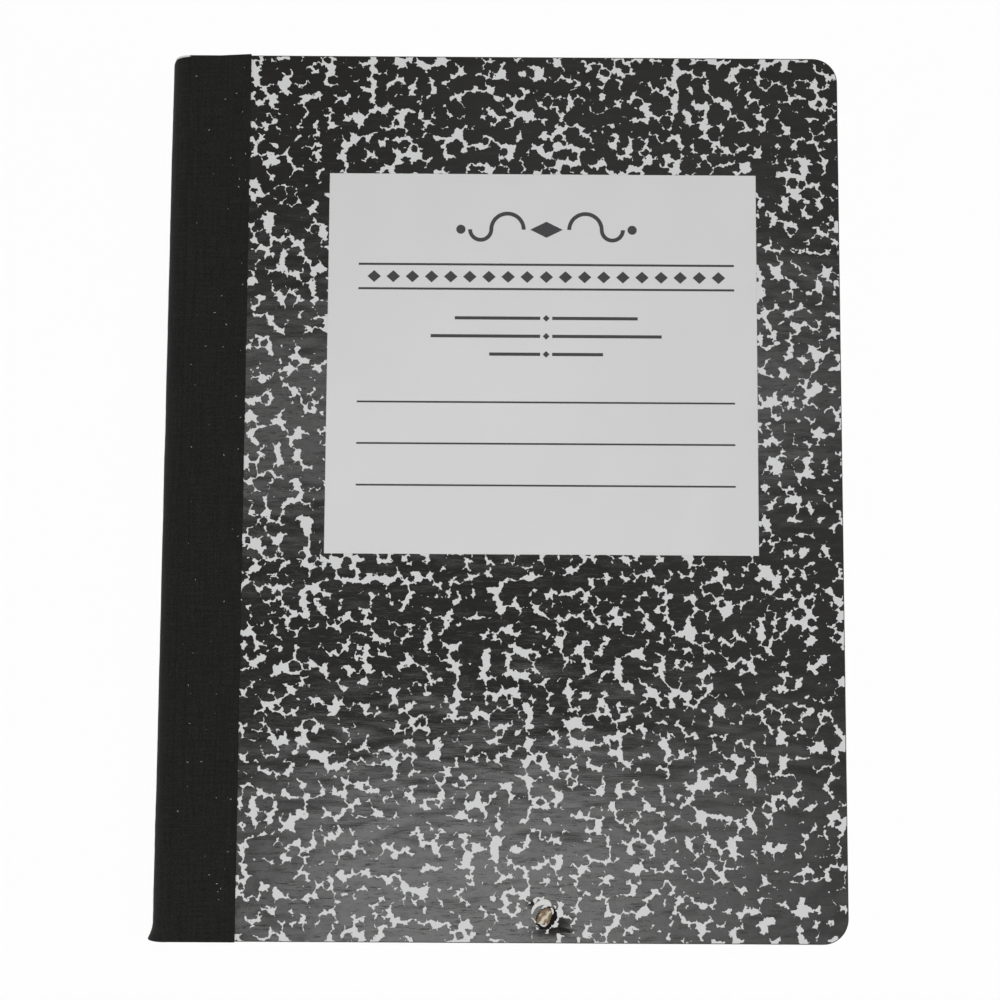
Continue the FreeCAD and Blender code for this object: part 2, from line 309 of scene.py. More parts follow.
def book_cloth():
    """Black cloth tape: a close plain weave with slubs, dented along the creases beside the fold.
    Painted shade darkens the creases, and a painted highlight lightens the rounded fold near the spine.
    """
    finish = Finish("book_cloth", Specular_IOR_Level=0.12, Roughness=0.85, Sheen_Weight=0.05,
                    Sheen_Roughness=0.4)
    thread = finish.node("ShaderNodeUVMap", uv_map="cloth").outputs[0]
    across, along, _ = finish.parts_of(thread)
    turns = 2 * math.pi / weave_pitch
    warp = finish.sum("SINE", finish.sum("MULTIPLY", across, turns))
    weft = finish.sum("SINE", finish.sum("MULTIPLY", along, turns))
    weave = finish.sum("MULTIPLY", warp, weft)
    upright = finish.vector("MULTIPLY", thread, (1.5, 0.07, 0.0))
    level = finish.vector("MULTIPLY", thread, (0.1, 1.7, 0.0))
    slubs = finish.sum("ADD", finish.noise(upright, 1.0, 3.0, 0.7), finish.noise(level, 1.0, 3.0, 0.7))
    fuzz = finish.noise(finish.coordinates(), 2.2, 3.0, 0.6)
    relief = finish.sum("MULTIPLY_ADD", fuzz, 0.8, finish.sum("MULTIPLY", weave, 0.35))
    relief = finish.sum("MULTIPLY_ADD", slubs, 0.4, relief)
    patches = finish.noise(finish.coordinates((0.12, 0.03, 0.1)), 1.0, 3.0)
    cloth = finish.blend(patches, srgb(8, 8, 8), srgb(15, 15, 14))
    lifted = finish.step(relief, 0.6, 1.25)
    cloth = finish.blend(finish.sum("MULTIPLY", lifted, 0.7), cloth, srgb(56, 56, 54))
    for crease in tape_creases:
        away = finish.sum("ABSOLUTE", finish.sum("SUBTRACT", across, fold_arc + crease))
        # Painted shade: the cloth is darkened along each crease, which the bump also dents.
        crease_dent_and_shade = finish.step(finish.sum("MULTIPLY_ADD", fuzz, 0.3, away), 0.1, 0.42, 1.0, 0.0)
        cloth = finish.blend(finish.sum("MULTIPLY", crease_dent_and_shade, 0.4), cloth, srgb(8, 8, 9))
        relief = finish.sum("MULTIPLY_ADD", crease_dent_and_shade, -1.2, relief)
    # Painted highlight: a lighter band along the rounded fold near the spine, where it catches the
    # light.
    from_highlight_line = finish.sum("ABSOLUTE", finish.sum("SUBTRACT", across, 1.5))
    fold_highlight = finish.step(finish.sum("MULTIPLY_ADD", slubs, 0.8, from_highlight_line), 1.0, 2.2, 0.4, 0.0)
    cloth = finish.blend(fold_highlight, cloth, srgb(60, 61, 63))
    finish.set("Base Color", cloth)
    finish.bump(relief, 0.05)
    return finish.material


def lint():
    """Pale fibres caught on the cloth."""
    finish = Finish("lint", Roughness=0.9)
    shade = finish.noise(finish.coordinates(), 0.7)
    finish.set("Base Color", finish.blend(shade, srgb(150, 150, 148), srgb(215, 214, 210)))
    return finish.material


rule_pitch = 7.1
first_rule_from_head = 22.0
margin_from_spine = 32.0


def ruled_paper():
    """White writing paper with pale blue rules and a red margin line, cut edges included. Some sheets
    are painted greyer, only along the trimmed edge, so the open page shows none of it."""
    finish = Finish("ruled_paper", Specular_IOR_Level=0.2, Roughness=0.8)
    x, y, _ = finish.parts_of(finish.coordinates())
    down = finish.sum("SUBTRACT", head_y - first_rule_from_head, y)
    apart = finish.sum("PINGPONG", down, rule_pitch / 2)
    rule = finish.step(apart, 0.09, 0.16, 1.0, 0.0)
    rule = finish.sum("MULTIPLY", rule, finish.sum("GREATER_THAN", down, -0.2))
    margin = finish.sum("ABSOLUTE", finish.sum("SUBTRACT", x, spine_x + margin_from_spine))
    margin = finish.step(margin, 0.12, 0.2, 1.0, 0.0)
    fibre = finish.noise(finish.coordinates(), 1.2, 4.0)
    layers = finish.noise(finish.coordinates((0.04, 0.04, 4.5)), 1.0, 3.0, 0.7)
    past_x = finish.sum("MAXIMUM", finish.sum("SUBTRACT", x, fore_x - corner_radius), 0.0)
    from_middle = finish.sum("ABSOLUTE", y)
    past_y = finish.sum("MAXIMUM", finish.sum("SUBTRACT", from_middle, head_y - corner_radius), 0.0)
    out = finish.length(past_x, past_y)
    trimmed = finish.step(out, corner_radius - 0.7, corner_radius - 0.4)
    # Some sheets are darker in layers, only within the last fraction of a millimetre of the trimmed
    # edge.
    greyer_sheets = finish.sum("MULTIPLY", trimmed, finish.step(layers, 0.52, 0.75, 0.0, 0.5))
    paper = finish.blend(fibre, srgb(235, 234, 229), srgb(242, 242, 239))
    paper = finish.blend(greyer_sheets, paper, srgb(196, 193, 184))
    paper = finish.blend(rule, paper, srgb(163, 190, 216))
    paper = finish.blend(margin, paper, srgb(222, 150, 156))
    finish.set("Base Color", paper)
    finish.bump(fibre, 0.01)
    return finish.material


def cotton_thread():
    """Twisted white cotton."""
    finish = Finish("cotton_thread", Roughness=0.8, Sheen_Weight=0.2)
    waves = {"Vector": finish.coordinates((1.0, 1.6, 1.0)), "Scale": 0.8}
    twist = finish.node("ShaderNodeTexWave", waves, bands_direction="DIAGONAL").outputs["Fac"]
    finish.set("Base Color", finish.blend(twist, srgb(205, 203, 196), srgb(236, 235, 230)))
    finish.bump(twist, 0.05)
    return finish.material


def torn_fibre():
    """Card torn open, with painted shade: tan fibre where it is high, browner lower down, and dark where
    it falls into the gaps.
    """
    finish = Finish("torn_fibre", Specular_IOR_Level=0.15, Roughness=0.9)
    matted = finish.noise(finish.coordinates(), 3.2, 4.0, 0.7)
    depth = finish.parts_of(finish.coordinates())[2]
    level = finish.sum("MULTIPLY_ADD", matted, 0.12, depth)
    # Painted shade: the fibre turns browner where it lies low.
    lit_by_height = finish.step(level, ink_low + 0.05, ink_low + 0.3)
    tan = finish.blend(lit_by_height, srgb(126, 106, 84), srgb(216, 208, 186))
    # Painted shade: near black where the fibre falls into the gaps.
    light = finish.step(depth, ink_low - 0.26, ink_low - 0.02)
    finish.set("Base Color", finish.blend(light, srgb(22, 20, 18), tan))
    finish.bump(matted, 0.12)
    return finish.material


def torn_white():
    """The white facing of the card where it curls back from the tear."""
    finish = Finish("torn_white", Specular_IOR_Level=0.2, Roughness=0.7)
    matted = finish.noise(finish.coordinates(), 3.0, 3.0)
    finish.set("Base Color", finish.blend(matted, srgb(206, 203, 198), srgb(238, 238, 237)))
    finish.bump(matted, 0.06)
    return finish.material


finishes = {
    "front_ink": marbled_ink("front_marbled_ink", (0.0, 0.0, 0.0), tear_scuffs),
    "back_ink": marbled_ink("back_marbled_ink", (311.0, 147.0, 0.0)),
    "painted_edge_shade": painted_edge_shade(),
    "coated": coated_card(),
    "core": board_core(),
    "lining": card_lining(),
    "print": label_print(),
    "cloth": book_cloth(),
    "lint": lint(),
    "paper": ruled_paper(),
    "thread": cotton_thread(),
    "fibre": torn_fibre(),
    "torn_white": torn_white(),
}


# Meshes

def new_piece(name, points, faces, materials, face_finish=None):
    """An object at the origin from points in millimetres."""
    mesh = bpy.data.meshes.new(name)
    mesh.from_pydata([Vector(point) * MM for point in points], [], faces)
    for material in materials:
        mesh.materials.append(material)
    if face_finish:
        mesh.polygons.foreach_set("material_index", face_finish)
    mesh.update()
    piece = bpy.data.objects.new(name, mesh)
    bpy.context.scene.collection.objects.link(piece)
    return piece


def settle(piece):
    """Turns a piece and its modifiers into a plain mesh."""
    bpy.context.view_layer.update()
    seen = piece.evaluated_get(bpy.context.evaluated_depsgraph_get())
    mesh = bpy.data.meshes.new_from_object(seen)
    piece.modifiers.clear()
    piece.data = mesh
    mesh.name = piece.name
    return piece


def thicken(piece, thickness, inner=0, rim=0):
    """Gives a surface its thickness, inwards from its outer face."""
    wall = piece.modifiers.new("wall", "SOLIDIFY")
    wall.thickness = thickness * MM
    wall.offset = -1.0
    wall.use_even_offset = True
    wall.material_offset = inner
    wall.material_offset_rim = rim


def smooth_below(piece, degrees):
    """Smooth shading, except across edges sharper than the given angle."""
    mesh = piece.data
    mesh.polygons.foreach_set("use_smooth", [True] * len(mesh.polygons))
    mesh.set_sharp_from_angle(angle=math.radians(degrees))


def mirrored(points):
    """The same points on the back cover."""
    return [(x, y, overall - z) for x, y, z in points]


def turned_over(faces):
    """The same faces, seen from their other side."""
    return [tuple(reversed(face)) for face in faces]


def trimmed_outline(start_x, inset=0.0):
    """Plan of a trimmed sheet, counter-clockwise from the tail end of start_x."""
    radius = corner_radius - inset
    low, high, right = tail_y + inset, head_y - inset, fore_x - inset
    points = [(start_x + inset, low)]
    for centre_y, first in ((low + radius, -90), (high - radius, 0)):
        for i in range(corner_steps + 1):
            angle = math.radians(first + 90 * i / corner_steps)
            points.append((right - radius + radius * math.cos(angle),
                           centre_y + radius * math.sin(angle)))
    points.append((start_x + inset, high))
    return points


def fill_between(rings, level):
    """Triangles between plan outlines at one level: the first is the edge, the others are holes."""
    work = bmesh.new()
    edges = []
    for ring in rings:
        verts = [work.verts.new((x, y, level)) for x, y in ring]
        edges += [work.edges.new((verts[i], verts[(i + 1) % len(verts)])) for i in range(len(verts))]
    bmesh.ops.triangle_fill(work, use_beauty=True, use_dissolve=False, edges=edges, normal=(0, 0, 1))
    work.verts.index_update()
    points = [tuple(vert.co) for vert in work.verts]
    faces = []
    for face in work.faces:
        order = [vert.index for vert in face.verts]
        faces.append(order if face.normal.z > 0 else order[::-1])
    work.free()
    return points, faces


def joined(*patches):
    """Several lists of points and faces as one, with points that meet merged."""
    places, points, faces = {}, [], []
    for patch_points, patch_faces in patches:
        index = []
        for point in patch_points:
            key = tuple(round(value, 4) for value in point)
            if key not in places:
                places[key] = len(points)
                points.append(point)
            index.append(places[key])
        faces += [tuple(index[i] for i in face) for face in patch_faces]
    return points, faces


def around(x, y, reaches):
    """A closed ring of points at the given reaches from a centre."""
    step = 2 * math.pi / len(reaches)
    return [(x + reach * math.cos(i * step), y + reach * math.sin(i * step))
            for i, reach in enumerate(reaches)]


# Cover card

pit_reach = 4.9
nose_steps = 14
crease_rows = (0.4, 0.8, 1.2, 1.6)
edge_bevel = 0.08


def card_half(name, node, back):
    """The card from the middle of the fold to the fore-edge, on the front or on the back."""
    radius = ink_low - mid_z
    rows = []
    for i in range(nose_steps + 1):
        angle = math.radians(180 - 90 * i / nose_steps)
        rows.append((hinge_x + radius * math.cos(angle), mid_z + radius * math.sin(angle)))
    rows += [(hinge_x + step, ink_low) for step in crease_rows]
    points = [(x, y, z) for x, z in rows for y in (tail_y, head_y)]
    faces = [(2 * i, 2 * i + 2, 2 * i + 3, 2 * i + 1) for i in range(len(rows) - 1)]
    rings = [trimmed_outline(rows[-1][0])]
    if not back:
        rings.append(around(tear_x, tear_y, [pit_reach] * 40))
    points, faces = joined((points, faces), fill_between(rings, ink_low))
    if back:
        points, faces = mirrored(points), turned_over(faces)
    piece = new_piece(name, points, faces,
                      [finishes["coated"], finishes["core"], finishes["lining"]])
    thicken(piece, card_thickness, inner=2, rim=1)
    edge = piece.modifiers.new("trimmed_edge", "BEVEL")
    edge.width = edge_bevel * MM
    edge.segments = 2
    edge.limit_method = "ANGLE"
    edge.angle_limit = math.radians(60)
    smooth_below(settle(piece), 40)
    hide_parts(*node)
    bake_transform(piece)


card_half("front_card", ["front_board", "spine_board"], back=False)
card_half("back_card", ["back_board"], back=True)


# Marbled print

edge_width = 0.22

# half the length and the width of the rolled plug of fibre, and the way that it points
plug_long = 2.5
plug_wide = 1.75
plug_run_x, plug_run_y = 0.6, 0.8


def plug_reach(x, y):
    """How far a point lies out from the plug: 1 at its edge, x and y from its middle."""
    along, across = plug_run_x * x + plug_run_y * y, plug_run_y * x - plug_run_x * y
    swirl = noise.noise(Vector((x * 0.75, y * 0.75, 4.0)))
    ragged = noise.noise(Vector((x * 2.3, y * 2.3, 7.0)))
    return math.hypot(along / plug_long, across / plug_wide) + 0.3 * swirl + 0.13 * ragged


def gap_share(x, y):
    """How far the card has parted round the plug: most on the fore side and at the foot."""
    aside = 0.85 * x - 0.5 * y
    return min(1.0, max(0.0, 0.35 + 0.75 * aside / max(0.1, math.hypot(x, y))))


def torn_edge():
    """The ragged opening in the print round the puncture."""
    dice = random.Random(5)
    count = 72
    reaches = []
    for i in range(count):
        angle = 2 * math.pi * i / count
        reach = 1.0
        while reach < 4.2:
            x, y = reach * math.cos(angle), reach * math.sin(angle)
            if plug_reach(x, y) > 1.2 + 0.42 * gap_share(x, y):
                break
            reach += 0.05
        reaches.append(reach + dice.uniform(-0.12, 0.12))
    return around(tear_x, tear_y, reaches)


def print_skin(name, finish, node, body, back):
    """The printed face of a cover, with a narrow line of painted shade along the trimmed edge."""
    start_x = hinge_x + crease_half_gap
    outer = trimmed_outline(start_x)
    inner = trimmed_outline(start_x, edge_width)
    count = len(outer)
    rim_points = [(x, y, ink_high) for x, y in outer + inner]
    rim_faces = [(i, (i + 1) % count, count + (i + 1) % count, count + i) for i in range(count)]
    rings = [inner]
    if not back:
        rings.append([(label_left, label_bottom), (label_right, label_bottom),
                      (label_right, label_top), (label_left, label_top)])
        rings.append(torn_edge())
    points, faces = joined((rim_points, rim_faces), fill_between(rings, ink_high))
    face_finish = [1 if i < count else 0 for i in range(len(faces))]
    if back:
        points, faces = mirrored(points), turned_over(faces)
    piece = new_piece(name, points, faces, [finish, finishes["painted_edge_shade"]], face_finish)
    thicken(piece, ink_thickness, rim=1)
    settle(piece)
    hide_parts(node)
    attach(piece, body)


print_skin("front_marbling", finishes["front_ink"], "front_print", "front_cover", back=False)
print_skin("back_marbling", finishes["back_ink"], "back_print", "back_cover", back=True)


# Cloth tape

tape_reach_head = 23.2
tape_reach_tail = 23.5
tape_past_head = 0.35
tape_past_tail = 0.15
tape_short_at_spine = 0.9
tape_end_radius = 2.0
tail_flare = 1.25
tail_flare_length = 4.5
tail_flare_curve = 2.2
tail_droop = 0.3
tail_droop_length = 1.5

# rows up the tape, crowded towards the tail, and columns past the hinge: close ones, then wide ones
tape_rows = 150
row_crowding = 1.3
close_columns = 5
close_pitch = 0.3
wide_columns = 12


def head_end(x):
    """Where the tape ends at the head, cut askew and round at the fold."""
    slope = (tape_short_at_spine + tape_past_head) / tape_reach_head
    end = head_y + tape_past_head - slope * (spine_x + tape_reach_head - x)
    over = max(0.0, spine_x + tape_end_radius - x)
    return end - tape_end_radius + math.sqrt(max(0.0, tape_end_radius ** 2 - over ** 2))


def tape_half(name, nodes, back, seed):
    """The tape from the middle of the fold to its edge on a cover."""
    columns = []
    for i in range(nose_steps + 1):
        angle = math.radians(180 - 90 * i / nose_steps)
        columns.append((hinge_x + mid_z * math.cos(angle), mid_z + mid_z * math.sin(angle),
                        math.cos(angle), math.sin(angle), fold_arc * i / nose_steps))
    steps = [close_pitch * i for i in range(1, close_columns + 1)]
    flat = spine_x + tape_reach_head - hinge_x
    close = close_pitch * close_columns
    steps += [close + (flat - close) * i / wide_columns for i in range(1, wide_columns + 1)]
    columns += [(hinge_x + step, overall, 0.0, 1.0, fold_arc + step) for step in steps]
    points, cloth = [], []
    for j in range(tape_rows + 1):
        share = (j / tape_rows) ** row_crowding
        for i, (x, z, out_x, out_z, u) in enumerate(columns):
            low = tail_y - tape_past_tail
            y = low + (head_end(x) - low) * share
            spread = max(0.0, 1 - (y - tail_y) / tail_flare_length) ** tail_flare_curve * tail_flare
            ripple = 0.09 + 0.09 * noise.noise(Vector((seed, y * 0.09, x * 0.05)))
            ripple += 0.05 * noise.noise(Vector((seed + 9, y * 0.4, 0)))
            near_fold = max(0.0, -out_x)
            push = near_fold * (ripple + spread)
            y -= near_fold * tail_droop * max(0.0, 1 - (y - tail_y) / tail_droop_length)
            askew = 0.0
            if i > nose_steps + close_columns:
                part = (i - nose_steps - close_columns) / wide_columns
                askew = part * ((tape_reach_tail - tape_reach_head) * (1 - share)
                                + 0.07 * noise.noise(Vector((seed + 4, y * 0.12, 0))))
            points.append((x + out_x * push + askew, y, z))
            cloth.append((u + askew, y))
    wide = len(columns)
    faces = [(j * wide + i, j * wide + i + 1, (j + 1) * wide + i + 1, (j + 1) * wide + i)
             for j in range(tape_rows) for i in range(wide - 1)]
    if back:
        points, faces = mirrored(points), turned_over(faces)
    piece = new_piece(name, points, faces, [finishes["cloth"]])
    layer = piece.data.uv_layers.new(name="cloth")
    for loop in piece.data.loops:
        layer.data[loop.index].uv = cloth[loop.vertex_index]
    thicken(piece, tape_thickness)
    smooth_below(settle(piece), 50)
    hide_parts(*nodes)
    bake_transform(piece)


tape_half("front_tape", ["front_tape_flap", "spine_tape"], back=False, seed=3.1)
tape_half("back_tape", ["back_tape_flap"], back=True, seed=8.7)


# Page block

# degrees between the points of a sheet's round corner, and of its fold
corner_turn = 9
nose_turn = 11.25


def folded_sheet():
    """One sheet folded in two. Its points hold the distance past the fold, and their direction from
    the fold's middle is kept apart, so that each sheet can take its own radius."""
    flat = fore_x - hinge_x
    rows = [(flat - corner_radius * (1 - math.sin(math.radians(corner_turn * i))),
             head_y - corner_radius * (1 - math.cos(math.radians(corner_turn * i))))
            for i in range(90 // corner_turn, -1, -1)]
    rows.append((0.0, head_y))
    over = [(x, reach, 0.0, 1.0) for x, reach in rows]
    nose = [(0.0, head_y, -math.sin(math.radians(nose_turn * i)), math.cos(math.radians(nose_turn * i)))
            for i in range(1, int(180 / nose_turn))]
    under = [(x, reach, 0.0, -1.0) for x, reach in reversed(rows)]
    rows = over + nose + under
    points = [(x, side * reach, 0.0) for x, reach, _, _ in rows for side in (-1, 1)]
    away = [(out_x, 0.0, out_z) for _, _, out_x, out_z in rows for _ in (-1, 1)]
    faces = [(2 * i, 2 * i + 1, 2 * i + 3, 2 * i + 2) for i in range(len(rows) - 1)]
    sheet = new_piece("page_leaves", points, faces, [finishes["paper"]])
    layer = sheet.data.attributes.new("away", "FLOAT_VECTOR", "POINT")
    layer.data.foreach_set("vector", [value for vector in away for value in vector])
    return sheet


def new_tree(name, sizes):
    """An empty tree with geometry in and out and a named input for each size."""
    tree = bpy.data.node_groups.new(name, "GeometryNodeTree")
    tree.interface.new_socket("Geometry", in_out="INPUT", socket_type="NodeSocketGeometry")
    tree.interface.new_socket("Geometry", in_out="OUTPUT", socket_type="NodeSocketGeometry")
    kinds = {int: "NodeSocketInt", float: "NodeSocketFloat", tuple: "NodeSocketVector",
             bpy.types.Material: "NodeSocketMaterial"}
    for label, value in sizes.items():
        tree.interface.new_socket(label, in_out="INPUT", socket_type=kinds[type(value)])
    return tree


def run_tree(piece, tree, sizes):
    """Puts a tree on a piece with its sizes."""
    modifier = piece.modifiers.new(tree.name, "NODES")
    modifier.node_group = tree
    for item in tree.interface.items_tree:
        if item.in_out == "INPUT" and item.name in sizes:
            modifier[item.identifier] = sizes[item.name]


def stack_tree(sizes):
    """Sheets nested one inside another round the fold, each trimmed a hair out of line."""
    tree = new_tree("nested_sheets", sizes)
    wires = Wiring(tree)
    given = wires.node("NodeGroupInput").outputs
    line = wires.node("GeometryNodeMeshLine", {"Count": given["Sheets"], "Offset": (0.0, 0.0, 0.0)})
    copies = wires.node("GeometryNodeInstanceOnPoints",
                        {"Points": line.outputs[0], "Instance": given["Geometry"]})
    number = wires.node("GeometryNodeInputIndex").outputs[0]
    store = wires.node("GeometryNodeStoreNamedAttribute",
                       {"Geometry": copies.outputs[0], "Name": "sheet", "Value": number},
                       data_type="INT", domain="INSTANCE")
    real = wires.node("GeometryNodeRealizeInstances", {0: store.outputs[0]}).outputs[0]
    sheet = wires.node("GeometryNodeInputNamedAttribute", {"Name": "sheet"}, data_type="INT").outputs[0]
    away = wires.node("GeometryNodeInputNamedAttribute", {"Name": "away"},
                      data_type="FLOAT_VECTOR").outputs[0]
    depth = wires.sum("MULTIPLY", wires.sum("ADD", sheet, 0.5), given["Pitch"])
    radius = wires.sum("SUBTRACT", given["Fold radius"], depth)
    lifted = wires.vector("SCALE", away, radius)
    spread = wires.node("FunctionNodeRandomValue", {"ID": sheet, "Seed": given["Seed"]},
                        data_type="FLOAT_VECTOR")
    spread.inputs[0].default_value = (-1.0, -1.0, 0.0)
    spread.inputs[1].default_value = (0.4, 1.0, 0.0)
    spread = wires.vector("SCALE", spread.outputs[0], given["Unevenness"])
    place = wires.node("GeometryNodeInputPosition").outputs[0]
    past_fold = wires.node("ShaderNodeSeparateXYZ", {0: place}).outputs[0]
    held = wires.sum("DIVIDE", past_fold, given["Leaf length"])
    out_x, out_y, _ = wires.node("ShaderNodeSeparateXYZ", {0: spread}).outputs
    out_x = wires.sum("MULTIPLY", out_x, held)
    shift = wires.node("ShaderNodeCombineXYZ", {0: out_x, 1: out_y}).outputs[0]
    for added in (lifted, shift, given["Fold middle"]):
        place = wires.vector("ADD", place, added)
    moved = wires.node("GeometryNodeSetPosition", {"Geometry": real, "Position": place}).outputs[0]
    painted = wires.node("GeometryNodeSetMaterial", {"Geometry": moved, "Material": given["Finish"]})
    wires.node("NodeGroupOutput", {0: painted.outputs[0]})
    return tree


sheet_count = 50
leaf_pitch = 0.09
leaf_thickness = 0.07

sheet_sizes = {
    "Sheets": sheet_count,
    "Fold radius": (block_high.z - block_low.z) / 2 * MM,
    "Pitch": leaf_pitch * MM,
    "Leaf length": (fore_x - hinge_x) * MM,
    "Unevenness": 0.12 * MM,
    "Fold middle": (hinge_x * MM, 0.0, mid_z * MM),
    "Seed": 7,
    "Finish": finishes["paper"],
}
page_leaves = folded_sheet()
run_tree(page_leaves, stack_tree(sheet_sizes), sheet_sizes)
leaf_wall = page_leaves.modifiers.new("leaf", "SOLIDIFY")
leaf_wall.thickness = leaf_thickness * MM
leaf_wall.offset = 0.0
settle(page_leaves)
for left_over in ("away", "sheet"):
    if left_over in page_leaves.data.attributes:
        page_leaves.data.attributes.remove(page_leaves.data.attributes[left_over])
smooth_below(page_leaves, 40)
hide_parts("page_block")
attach(page_leaves, "pages")


# Nodes kept from the frame

for node, finish in (("label_rules", "print"), ("label_ornament", "print"), ("sewing_thread", "thread")):
    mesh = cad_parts[node].data
    mesh.materials.clear()
    mesh.materials.append(finishes[finish])


# Puncture

def torn_height(x, y):
    """Level of the torn card over the pit, x and y from the middle of the puncture."""
    plug = plug_reach(x, y)
    share = gap_share(x, y)
    gap = math.exp(-((plug - 1.2 - 0.12 * share) / (0.16 + 0.22 * share)) ** 2)
    gap *= 0.33 + 0.15 * share
    swirl = 2.0 * noise.noise(Vector((x * 0.8, y * 0.8, 2.0)))
    roll = 0.15 * math.sin(3.1 * (plug_run_y * x - plug_run_x * y) + 1.6 + swirl)
    rough = 0.09 * noise.noise(Vector((x * 2.6, y * 2.6, 1.0)))
    rough += 0.04 * noise.noise(Vector((x * 6.0, y * 6.0, 3.0)))
    lift = (0.14 + roll) * min(1.0, max(0.0, 1.15 - plug) * 2.5)
    calm = min(1.0, max(0.0, (pit_reach - 0.3 - math.hypot(x, y)) / 0.6))
    return min((lift + rough - gap) * calm, overall - ink_low)


def torn_core():
    """The torn card in the puncture, a solid piece that fills the hole in the cover's card."""
    around_count, rings = 120, 44
    floor = ink_low - card_thickness
    points = [(tear_x, tear_y, ink_low + torn_height(0, 0))]
    for j in range(1, rings + 1):
        reach = pit_reach * j / rings
        for i in range(around_count):
            angle = 2 * math.pi * i / around_count
            x, y = reach * math.cos(angle), reach * math.sin(angle)
            points.append((tear_x + x, tear_y + y, ink_low + torn_height(x, y)))
    faces = [(0, 1 + i, 1 + (i + 1) % around_count) for i in range(around_count)]
    for j in range(rings - 1):
        inner, outer = 1 + j * around_count, 1 + (j + 1) * around_count
        for i in range(around_count):
            following = (i + 1) % around_count
            faces.append((inner + i, outer + i, outer + following, inner + following))
    edge = 1 + (rings - 1) * around_count
    base = len(points)
    points += [(points[edge + i][0], points[edge + i][1], floor) for i in range(around_count)]
    for i in range(around_count):
        following = (i + 1) % around_count
        faces.append((edge + i, base + i, base + following, edge + following))
    faces.append(tuple(base + i for i in reversed(range(around_count))))
    count = len(faces)
    face_finish = [0] * (count - 1 - around_count) + [1] * (around_count + 1)
    piece = new_piece("torn_core", points, faces, [finishes["fibre"], finishes["lining"]], face_finish)
    smooth_below(piece, 60)
    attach(piece, "front_cover")


torn_core()


torn_strips = (
    # The facing curled back round the head side, the curl at the foot, and the loose bits beside it:
    # each with its line from the middle of the puncture, its widths along that and its lift.
    (((-3.65, 0.9), (-3.5, 1.9), (-2.85, 2.9), (-1.9, 3.6),
      (-0.8, 4.15), (0.3, 4.2), (1.1, 3.7), (1.5, 3.0)),
     (0.3, 0.8, 0.9, 1.15, 1.55, 1.5, 1.2, 0.4), 0.22),
    (((-1.15, -0.9), (-1.35, -1.6), (-0.9, -2.2), (-0.1, -2.3), (0.35, -1.8), (0.1, -1.3)),
     (0.2, 0.42, 0.5, 0.5, 0.4, 0.2), 0.24),
    (((1.5, 2.6), (1.9, 2.1), (2.1, 1.5), (2.0, 0.9)), (0.3, 0.55, 0.5, 0.2), 0.2),
    (((2.3, 3.2), (2.7, 2.9), (2.8, 2.4)), (0.2, 0.35, 0.15), 0.15),
    (((0.6, -3.2), (0.75, -3.7), (0.65, -4.3)), (0.15, 0.4, 0.15), 0.12),
)


torn_facing_thickness = 0.06


def torn_lip():
    """The white facing of the card where it has curled back and come away round the puncture."""
    points, faces = [], []
    across = 9
    dice = random.Random(3)
    for line, widths, lift in torn_strips:
        base = len(points)
        for i, ((x, y), width) in enumerate(zip(line, widths)):
            before, after = line[max(0, i - 1)], line[min(len(line) - 1, i + 1)]
            along = (Vector(after) - Vector(before)).normalized()
            away = Vector((-along.y, along.x))
            for k in range(across):
                share = k / (across - 1)
                reach = (share - 0.5) * width + dice.uniform(-0.06, 0.06)
                rise = lift * math.sin(math.pi * share) * (0.6 + 0.4 * dice.random())
                level = ink_high + 0.02 + rise
                points.append((tear_x + x + away.x * reach, tear_y + y + away.y * reach, level))
        for j in range(len(line) - 1):
            for k in range(across - 1):
                first = base + j * across + k
                faces.append((first, first + across, first + across + 1, first + 1))
    piece = new_piece("torn_lip", points, turned_over(faces), [finishes["torn_white"]])
    thicken(piece, torn_facing_thickness)
    rounding = piece.modifiers.new("rounding", "SUBSURF")
    rounding.levels = rounding.render_levels = 2
    smooth_below(settle(piece), 60)
    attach(piece, "front_cover")


torn_lip()


# Lint

def lint_tree(sizes):
    """Stray fibres that lie on the cloth, each turned its own way."""
    tree = new_tree("scattered_lint", sizes)
    wires = Wiring(tree)
    given = wires.node("NodeGroupInput").outputs
    spots = wires.node("GeometryNodeDistributePointsOnFaces",
                       {"Mesh": given["Geometry"], "Density": given["Density"], "Seed": given["Seed"]})
    fibre = wires.node("GeometryNodeMeshCylinder",
                       {"Vertices": 6, "Radius": given["Fibre radius"], "Depth": given["Fibre length"]})
    turn = wires.node("FunctionNodeRandomValue", {"Seed": given["Seed"]}, data_type="FLOAT_VECTOR")
    turn.inputs[0].default_value = (math.pi / 2, 0.0, 0.0)
    turn.inputs[1].default_value = (math.pi / 2, 0.0, math.pi)
    size = wires.node("FunctionNodeRandomValue", {"Seed": given["Seed"], 2: 0.35, 3: 1.3},
                      data_type="FLOAT")
    copies = wires.node("GeometryNodeInstanceOnPoints",
                        {"Points": spots.outputs[0], "Instance": fibre.outputs[0],
                         "Rotation": turn.outputs[0], "Scale": size.outputs[1]})
    real = wires.node("GeometryNodeRealizeInstances", {0: copies.outputs[0]}).outputs[0]
    painted = wires.node("GeometryNodeSetMaterial", {"Geometry": real, "Material": given["Finish"]})
    wires.node("NodeGroupOutput", {0: painted.outputs[0]})
    return tree


lint_sizes = {
    "Density": 17000.0,
    "Fibre radius": 0.055 * MM,
    "Fibre length": 0.42 * MM,
    "Seed": 4,
    "Finish": finishes["lint"],
}


